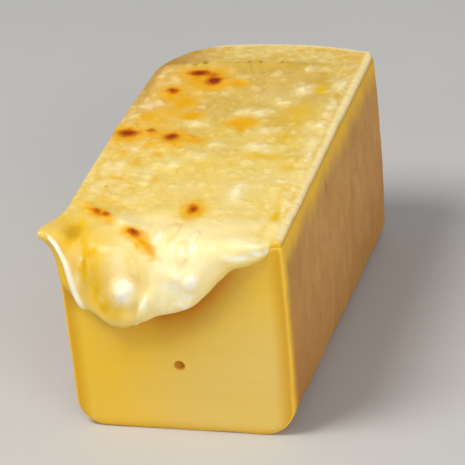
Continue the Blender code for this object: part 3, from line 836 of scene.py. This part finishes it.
def new_group(name, inputs, outputs):
    """An empty node group with named sockets. Each input is (name, kind, default), each output (name, kind)."""
    tree = bpy.data.node_groups.new(name, "ShaderNodeTree")
    for title, kind, default in inputs:
        socket = tree.interface.new_socket(title, in_out="INPUT", socket_type="NodeSocket" + kind)
        if default is not None:
            socket.default_value = default
    for title, kind in outputs:
        tree.interface.new_socket(title, in_out="OUTPUT", socket_type="NodeSocket" + kind)
    return tree, tree.nodes.new("NodeGroupInput").outputs, tree.nodes.new("NodeGroupOutput").inputs


def mottle_group(name):
    """Soft patches of one colour over another: noise, bent by coarser noise, cut to a soft edge."""
    inputs = (("Under", "Color", None), ("Over", "Color", None), ("Vector", "Vector", None),
              ("Scale", "Float", 100.0), ("Share", "Float", 0.5), ("Softness", "Float", 0.15),
              ("Strength", "Float", 1.0))
    tree, take, give = new_group(name, inputs, (("Color", "Color"),))
    nodes = Tree(tree)
    pattern = nodes.add("TexNoise", {"Vector": take["Vector"], "Scale": take["Scale"], "Detail": 4.0,
                                     "Roughness": 0.55, "Distortion": 0.15}).outputs["Fac"]
    low = nodes.math("SUBTRACT", take["Share"], take["Softness"])
    high = nodes.plus(take["Share"], take["Softness"])
    mask = nodes.times(nodes.ramp(pattern, low, high), take["Strength"])
    nodes.put(give["Color"], nodes.mix(mask, take["Under"], take["Over"]))
    return tree


def grain_group(name):
    """Fine relief: two sizes of noise added up, as a height."""
    inputs = (("Vector", "Vector", None), ("Scale", "Float", 600.0), ("Fine", "Float", 0.4))
    tree, take, give = new_group(name, inputs, (("Height", "Float"),))
    nodes = Tree(tree)
    at, scale = take["Vector"], take["Scale"]
    coarse = nodes.add("TexNoise", {"Vector": at, "Scale": scale, "Detail": 3.0}).outputs["Fac"]
    finer = nodes.add("TexNoise", {"Vector": at, "Scale": nodes.times(scale, 3.7), "Detail": 2.0}).outputs["Fac"]
    nodes.put(give["Height"], nodes.plus(coarse, nodes.times(finer, take["Fine"])))
    return tree


def start_material(name):
    """A node material, its tree, and the inputs of its Principled shader."""
    material = bpy.data.materials.new(name)
    material.use_nodes = True
    return material, Tree(material.node_tree), material.node_tree.nodes["Principled BSDF"].inputs


def bump(nodes, shader, height, distance, strength):
    made = nodes.add("Bump", {"Height": height, "Distance": distance, "Strength": strength})
    nodes.put(shader["Normal"], made.outputs["Normal"])


def soft_inside(shader, weight, depth, radius):
    """Light that enters, spreads and leaves again, deepest in red."""
    shader["Subsurface Weight"].default_value = weight
    shader["Subsurface Scale"].default_value = depth
    shader["Subsurface Radius"].default_value = radius


def melt_colour(nodes, settings, at, drawn, split, toast):
    """The melted skin's colours, one laid over another: a ground that runs from tan and olive gold at the back to
    cream on the tongue, mottled froth, gold and ivory places, yellow rings with painted shade on their right,
    painted shade above the lip, painted highlights in milk white on the tongue and along the bead, the bare rim
    with painted shade in its groove, and browned spots with their halos and painted shade in the pits."""
    mix, masked, mottled, patches, times = nodes.mix, nodes.masked, nodes.mottled, nodes.patches, nodes.times

    # The ground
    wander = patches(14, -0.18, 0.18, at)
    to_back = nodes.ramp(nodes.plus(nodes.ramp(split["Y"], -60 * MM, 62 * MM), wander), 0.0, 1.0)
    to_left = nodes.ramp(nodes.plus(nodes.ramp(split["X"], 6 * MM, -34 * MM), wander), 0.0, 1.0)
    back = mix(to_left, settings.olive, settings.tan)
    front = mix(nodes.ramp(to_left, 0.0, 1.0, 0.0, 0.45), settings.pale, settings.gold)
    colour = mix(to_back, front, back)

    # Froth and dull places
    busy = nodes.ramp(nodes.mask("bubbly"), 0.0, 0.8, 0.25, 0.85)
    warm = times(times(to_left, to_back), 0.5)
    colour = mottled(colour, settings.gold, 5, 0.52, 0.18, nodes.ramp(busy, 0.0, 1.0, 0.2, 0.6),
                     nodes.place((1, 0.6, 1), (3, 1, 0)))
    colour = mottled(colour, settings.orange, 6, 0.58, 0.12, warm, nodes.place((1, 0.7, 1), (1, 4, 0)))
    colour = mottled(colour, settings.ivory, 4.2, 0.52, 0.2, busy, drawn)
    colour = mottled(colour, settings.ivory, 1.6, 0.58, 0.18, times(busy, 0.5), at)
    colour = mix(nodes.mask("beige"), colour, settings.beige)
    colour = masked(colour, "froth", settings.ivory, 0.45, 0.05, 0.9)
    colour = masked(colour, "domes", settings.ivory, 0.5, 0.0, 0.9)

    # The tongue
    colour = masked(colour, "honey", settings.honey, 0.6)
    colour = masked(colour, "folded", settings.cream, 0.35)
    torn = (("blister", settings.white, patches(2.4, 0.6, 1.3, at, 4.0)),
            ("cream", settings.cream, patches(5, 0.7, 1.15, at)),
            ("gold", settings.clear_yellow, patches(2.4, 0.55, 1.5, nodes.place((1, 0.6, 0.6), (4, 4, 2)), 4.0)))
    for title, layer, uneven_share in torn:
        colour = mix(times(nodes.mask(title), uneven_share, True), colour, layer)
    # Yellow rings round the small ovals, stronger on their right as painted shade
    colour = masked(colour, "rings", settings.clear_yellow)
    colour = masked(colour, "gold", settings.deep_yellow, 0.8, 0.65, 1.5)
    # Painted shade on the melt just above the lip
    colour = masked(colour, "lip_shade", settings.shaded_cream, 0.6)
    # Painted highlights: milk white where the cream mask runs over 1
    highlight_share = times(nodes.mask("cream"), patches(3.2, 0.7, 1.25, at))
    colour = mix(nodes.ramp(highlight_share, 0.75, 1.4, 0.0, 0.9), colour, settings.highlight_white)
    # Painted highlight along the bead's crest
    colour = masked(colour, "bead_and_highlight", settings.highlight_white, 0.9, 0.2, 0.9)

    # The rim, and the groove inside it with its painted shade
    rim = mottled(settings.back_rim, settings.rim_orange, 7, 0.5, 0.14, 0.7, nodes.place((0.8, 1, 1)))
    rim = mottled(rim, settings.ivory, 3.2, 0.53, 0.16, 0.6, at)
    rim = mix(nodes.ramp(split["X"], -10 * MM, -32 * MM, 0.0, 0.85), rim, settings.rim_tan)
    rim = masked(rim, "brim", settings.right_rim, 0.85, 0.1, 0.8)
    colour = mix(nodes.mask("rim"), colour, rim)
    # Painted shade along the groove, in hazy patches
    hazy = patches(5, 0.0, 0.2, at, reach=0.15)
    colour = mix(times(nodes.mask("groove"), hazy), colour, settings.groove_shade)

    # Browned spots, and what lies at the borders
    halo = nodes.plus(nodes.mask("halo"), frayed(nodes, at))
    browned = ((halo, 0.02, 0.5, 0.75, settings.amber), (halo, 0.15, 0.95, 0.95, settings.orange),
               (toast, 0.16, 0.72, 1.0, settings.toast), (toast, 0.55, 1.0, 1.0, settings.burnt))
    for mask, low, high, strength, layer in browned:
        colour = mix(nodes.ramp(mask, low, high, 0.0, strength), colour, layer)
    # Painted shade inside the small pits
    colour = masked(colour, "pit", settings.pit, 0.9, 0.15, 0.6)
    colour = masked(colour, "bare", settings.bare_gold)
    return masked(colour, "under", settings.underside)


def frayed(nodes, at):
    """A little noise that frays the border of the mask it's added to."""
    return nodes.patches(1.3, -0.06, 0.06, at, 4.0, 0.25)


def melt_material(settings):
    """Melted skin: matt and grainy on top, wet and smooth where it hangs, and dull where it's browned."""
    material, nodes, shader = start_material("melted_skin")
    at, drawn = nodes.place(), nodes.place(scale=(1, 0.65, 1))
    split = nodes.add("SeparateXYZ", {"Vector": at}).outputs
    toast = nodes.plus(nodes.mask("toast"), frayed(nodes, at))
    nodes.put(shader["Base Color"], melt_colour(nodes, settings, at, drawn, split, toast))

    nodes.put(shader["Roughness"], nodes.patches(6, 0.45, 0.62, at, reach=0.15))
    hanging = nodes.mask("hanging")
    wet = nodes.patches(9, 0.2, 0.6, nodes.place(shift=(2, 7, 1)))
    wet = nodes.times(wet, nodes.ramp(hanging, 0.8, 1.0, 0.15, 1.0))
    nodes.put(shader["Coat Weight"], nodes.times(wet, nodes.ramp(toast, 0.1, 0.5, 1.0, 0.1)))
    shader["Coat Roughness"].default_value = 0.24
    shader["Specular IOR Level"].default_value = 0.08
    grain = nodes.grain(600.0, 0.35, drawn, nodes.ramp(hanging, 0.1, 0.8, 1.0, 0.3))
    bump(nodes, shader, grain, 0.35 * MM, 0.6)
    soft_inside(shader, 0.25, 1.2 * MM, (1.0, 0.7, 0.25))
    return material


def paste_colour(nodes, settings, at, split):
    """The cut faces: golden paste, paler to the right and below, in painted shadow below the lip and painted shade
    inside the eye, darker towards the rind.
    """
    margin = nodes.mask("margin")
    pale_to = nodes.math("SUBTRACT", nodes.ramp(split["X"], -30 * MM, 34 * MM),
                         nodes.ramp(split["Z"], 8 * MM, 62 * MM))
    lines = nodes.noise(3, nodes.place(scale=(0.02, 1, 1)))
    paste = nodes.mottled(settings.paste, settings.paste_pale, 35.714, 0.5, 0.3, 0.7, at)
    paste = nodes.mix(nodes.ramp(pale_to, -0.3, 0.9, 0.0, 0.9), paste, settings.paste_pale)
    # The lip's painted shadow on the cut face
    paste = nodes.mix(nodes.mask("lip_shadow"), paste, settings.lip_shadow)
    paste = nodes.mix(nodes.ramp(lines, 0.5, 0.75, 0.0, 0.08), paste, settings.band)
    paste = nodes.mix(nodes.ramp(margin, 0.08, 0.5, 0.85, 0.0), paste, settings.band)
    paste = nodes.mix(nodes.ramp(margin, 0.02, 0.1, 0.8, 0.0), paste, settings.rind_cut)
    # Painted shade inside the eye
    return nodes.masked(paste, "eye_shade", settings.eye_shade, 1.0, 0.3, 0.8)


def rind_colour(nodes, settings, at, upright, split):
    """The rind: tan with golden places, pale bloom and dark places, painted shade that darkens it to the foot and
    the front, and a golden band with a wavy border below its top edge."""
    rind = nodes.mottled(settings.rind, settings.rind_gold, 16.667, 0.52, 0.25, 0.8, at)
    rind = nodes.mottled(rind, settings.bloom, 5.8824, 0.55, 0.2, 0.5, upright)
    rind = nodes.mottled(rind, settings.bloom, 1.6667, 0.58, 0.15, 0.3, upright)
    rind = nodes.mottled(rind, settings.rind_dark, 9.0909, 0.6, 0.18, 0.35, nodes.place((1, 1, 0.5), (5, 2, 1)))
    # Painted shade: darker towards the foot and towards the front
    low = nodes.plus(nodes.ramp(split["Z"], 36 * MM, 4 * MM, 0.0, 0.4),
                     nodes.ramp(split["Y"], -20 * MM, -66 * MM, 0.0, 0.35))
    rind = nodes.mix(low, rind, settings.rind_dark)
    wavy = nodes.plus(nodes.mask("from_cut"), nodes.patches(14, -0.16, 0.16, at, 1.0, 0.3))
    rind = nodes.mix(nodes.ramp(wavy, 0.0, 0.85, 1.0, 0.0), rind, settings.rind_band)
    return nodes.mix(nodes.mask("nick"), rind, settings.rind_dark)


def block_material(settings):
    """Smooth golden paste on the cut faces and rougher, bloomed rind on the rest."""
    material, nodes, shader = start_material("paste_and_rind")
    at, upright, skin = nodes.place(), nodes.place(scale=(1, 1, 0.7)), nodes.mask("skin")
    split = nodes.add("SeparateXYZ", {"Vector": at}).outputs
    paste, rind = paste_colour(nodes, settings, at, split), rind_colour(nodes, settings, at, upright, split)
    nodes.put(shader["Base Color"], nodes.mix(skin, paste, rind))

    nodes.put(shader["Roughness"], nodes.ramp(skin, 0.0, 1.0, 0.5, 0.66))
    shader["Specular IOR Level"].default_value = 0.25
    grain = nodes.grain(700.0, 0.5, upright, nodes.ramp(skin, 0.0, 1.0, 0.12, 1.0))
    bump(nodes, shader, grain, 0.25 * MM, 0.5)
    soft_inside(shader, 0.3, 3.5 * MM, (1.0, 0.6, 0.15))
    return material


def floor_material():
    """Pale matt board with a faint uneven tone."""
    material, nodes, shader = start_material("pale_floor")
    tone = nodes.mottled(srgb(196, 195, 192), srgb(202, 201, 198), 166.67, 0.5, 0.3, 1.0, nodes.place())
    nodes.put(shader["Base Color"], tone)
    shader["Roughness"].default_value = 0.75
    return material


def tint(name, description, *steps):
    return FloatVectorProperty(name=name, description=description, subtype="COLOR", default=srgb(*steps))


def length(name, description, millimetres):
    return FloatProperty(name=name, description=description, default=millimetres * MM, unit="LENGTH")


def angle(name, description, degrees):
    return FloatProperty(name=name, description=description, default=math.radians(degrees), subtype="ANGLE")


# --- settings ---------------------------------------------------------------------------------------


class BlockSettings(bpy.types.PropertyGroup):
    spacing: length("Mesh spacing", "Distance between mesh points", 0.85)
    paste: tint("Paste", "The cut cheese", 236, 190, 36)
    paste_pale: tint("Pale paste", "Lighter, drier places on the cut", 228, 196, 104)
    # The colour of the lip's painted shadow on the cut face
    lip_shadow: tint("Oily paste", "The paste below the lip, soaked with fat", 190, 120, 0)
    # Painted shade inside the eye
    eye_shade: tint("Hole", "Inside of the eye", 196, 134, 0)
    band: tint("Band", "The darker golden paste near the rind", 212, 158, 10)
    rind_cut: tint("Cut rind", "The rind's own cut edge", 238, 196, 104)
    rind_band: tint("Rind band", "The golden rind just below the top edge", 255, 198, 54)
    rind: tint("Rind", "Main colour of the rind", 206, 146, 76)
    rind_gold: tint("Golden rind", "Smoother, yellower places of the rind", 212, 154, 60)
    # Also the colour of the painted shade towards the rind's foot and front
    rind_dark: tint("Dark rind", "Darker places in the rind", 178, 118, 56)
    bloom: tint("Bloom", "Pale dry bloom on the rind", 222, 173, 110)


class MeltSettings(bpy.types.PropertyGroup):
    lip_radius: length("Lip radius", "Rounding of the lower lip", 2.8)
    pale: tint("Pale skin", "Main colour of the skin towards the front", 240, 210, 108)
    olive: tint("Olive gold", "Ground at the back right", 206, 168, 64)
    tan: tint("Tan", "Ground at the back left", 218, 166, 76)
    gold: tint("Gold", "Clear places between the froth", 224, 180, 50)
    ivory: tint("Ivory", "Froth and blisters", 246, 224, 152)
    honey: tint("Honey", "The thinner skin left of the crease", 228, 194, 98)
    beige: tint("Beige", "Smooth dull places of the skin", 234, 208, 136)
    white: tint("White", "The palest, driest blisters", 252, 236, 182)
    cream: tint("Cream", "Thick melt on the tongue", 254, 240, 190)
    # The colour of the painted shade on the melt just above the lip
    shaded_cream: tint("Lip cream", "The thick melt just above the lip", 240, 214, 130)
    # The colour of the painted highlights on the tongue and along its bead
    highlight_white: tint("Milk", "The whitest places of the tongue", 255, 248, 226)
    clear_yellow: tint("Clear yellow", "Thin melt that lets the paste show", 232, 186, 24)
    deep_yellow: tint("Deep yellow", "Hollows of the tongue", 204, 152, 20)
    back_rim: tint("Back rim", "The bare rim at the back", 222, 192, 104)
    right_rim: tint("Right rim", "The bare rim along the right side", 244, 224, 168)
    rim_orange: tint("Rim orange", "Warm places in the back rim", 226, 176, 54)
    rim_tan: tint("Rim tan", "The rim's browner left end", 176, 126, 50)
    # Painted shade in the groove inside the back rim
    groove_shade: tint("Dark olive", "The groove inside the back rim", 150, 120, 36)
    amber: tint("Amber", "The wide outer halos round the browned spots", 236, 182, 44)
    orange: tint("Orange", "Halos round the browned spots", 234, 168, 0)
    toast: tint("Toast", "Browned skin", 202, 108, 0)
    burnt: tint("Burnt", "Darkest middle of the browned spots", 142, 50, 0)
    # Painted shade inside the small pits
    pit: tint("Pit", "Inside of the small pits", 150, 124, 0)
    bare_gold: tint("Bare gold", "Clear golden strip at the tongue's outer corners", 226, 182, 48)
    underside: tint("Underside", "The lip's underside and the melt's outer borders", 224, 168, 40)


class StageSettings(bpy.types.PropertyGroup):
    azimuth: angle("Azimuth", "Camera's turn round the block", 15.17)
    elevation: angle("Elevation", "Camera's height above the horizon", 26)
    roll: angle("Roll", "Camera's turn about its own view", -4.06)
    distance: length("Distance", "From the camera to the block's middle", 1107.5)
    lens: FloatProperty(name="Lens", description="Focal length on a 36 mm sensor", default=271, unit="CAMERA")
    key: FloatProperty(name="Key light", description="Power of the upper light", default=10.5, unit="POWER")


# --- operators --------------------------------------------------------------------------------------


class CHEESE_OT_block(bpy.types.Operator):
    """Builds the block of paste and rind in place of the CAD solid"""

    bl_idname = "cheese.block"
    bl_label = "Block"

    def execute(self, context):
        settings = context.scene.cheese_block
        points, faces, masks = make_block_surface(settings)
        piece = make_piece("paste_and_rind", points, faces, block_material(settings), masks)
        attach(piece, "root")
        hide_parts("cheese_block")
        return {"FINISHED"}


class CHEESE_OT_melt(bpy.types.Operator):
    """Builds the melted layer and its tongue over the front edge"""

    bl_idname = "cheese.melt"
    bl_label = "Melted top"

    def execute(self, context):
        settings = context.scene.cheese_melt
        points, faces, masks = make_melt_surface(settings)
        piece = make_piece("melted_top", points, faces, melt_material(settings), masks)
        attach(piece, "root")
        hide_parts("cheese_block")
        return {"FINISHED"}


def add_area_light(name, place, size, power, colour):
    """A round soft light that faces the block's middle."""
    data = bpy.data.lights.new(name, "AREA")
    data.shape = "DISK"
    data.size = size
    data.energy = power
    data.color = colour
    light = bpy.data.objects.new(name, data)
    light.location = place
    light.rotation_euler = (Vector(LOOK_AT) - Vector(place)).to_track_quat("-Z", "Y").to_euler()
    bpy.context.scene.collection.objects.link(light)


class CHEESE_OT_stage(bpy.types.Operator):
    """Lays the pale floor, hangs the soft lights and sets the camera"""

    bl_idname = "cheese.stage"
    bl_label = "Stage"

    def execute(self, context):
        scene = context.scene
        settings = scene.cheese_stage
        corners = np.array([[-1, -1, 0], [1, -1, 0], [1, 1, 0], [-1, 1, 0]]) * FLOOR_SIDE / 2
        floor = make_piece("floor", corners, [np.array([[0, 1, 2, 3]])], floor_material(), {})

        world = bpy.data.worlds.new("studio")
        world.use_nodes = True
        sky = world.node_tree.nodes["Background"].inputs
        sky["Color"].default_value = (0.9, 0.93, 1.0, 1)
        sky["Strength"].default_value = 0.35
        scene.world = world
        add_area_light("key", (-0.5, -0.4, 1.05), 0.6, settings.key, (1.0, 0.97, 0.92))
        add_area_light("fill", (0.75, -0.95, 0.45), 0.8, settings.key * 0.6, (1.0, 0.97, 0.93))

        turn, rise = settings.azimuth, settings.elevation
        back = Vector((math.sin(turn) * math.cos(rise), -math.cos(turn) * math.cos(rise), math.sin(rise)))
        right = Vector((0, 0, 1)).cross(back).normalized()
        up = back.cross(right)
        tilted_right = right * math.cos(settings.roll) + up * math.sin(settings.roll)
        tilted_up = up * math.cos(settings.roll) - right * math.sin(settings.roll)
        camera = bpy.data.objects.new("camera", bpy.data.cameras.new("camera"))
        camera.data.lens = settings.lens
        camera.data.sensor_width = 36
        camera.data.shift_x = CAMERA_SHIFT
        camera.location = Vector(CAMERA_CENTRE) + back * settings.distance
        axes = Matrix((tilted_right, tilted_up, back)).transposed()
        camera.rotation_euler = axes.to_euler()
        scene.collection.objects.link(camera)
        scene.camera = camera
        scene.view_settings.view_transform = "Standard"
        return {"FINISHED"}


class CHEESE_PT_panel(bpy.types.Panel):
    bl_label = "Raclette cheese block"
    bl_space_type = "VIEW_3D"
    bl_region_type = "UI"
    bl_category = "Cheese"

    def draw(self, context):
        for group, operator in SECTIONS:
            box = self.layout.box()
            settings = getattr(context.scene, group)
            for title in settings.bl_rna.properties.keys():
                if title not in ("rna_type", "name"):
                    box.prop(settings, title)
            box.operator(operator)


SECTIONS = (("cheese_block", "cheese.block"), ("cheese_melt", "cheese.melt"), ("cheese_stage", "cheese.stage"))
GROUPS = {"cheese_block": BlockSettings, "cheese_melt": MeltSettings, "cheese_stage": StageSettings}
CLASSES = (*GROUPS.values(), CHEESE_OT_block, CHEESE_OT_melt, CHEESE_OT_stage, CHEESE_PT_panel)


def register():
    for made in CLASSES:
        bpy.utils.register_class(made)
    for title, group in GROUPS.items():
        setattr(bpy.types.Scene, title, PointerProperty(type=group))


def unregister():
    for title in GROUPS:
        delattr(bpy.types.Scene, title)
    for made in reversed(CLASSES):
        bpy.utils.unregister_class(made)


def main():
    register()
    bpy.ops.cheese.block()
    bpy.ops.cheese.melt()
    bpy.ops.cheese.stage()


if __name__ == "__main__":
    main()
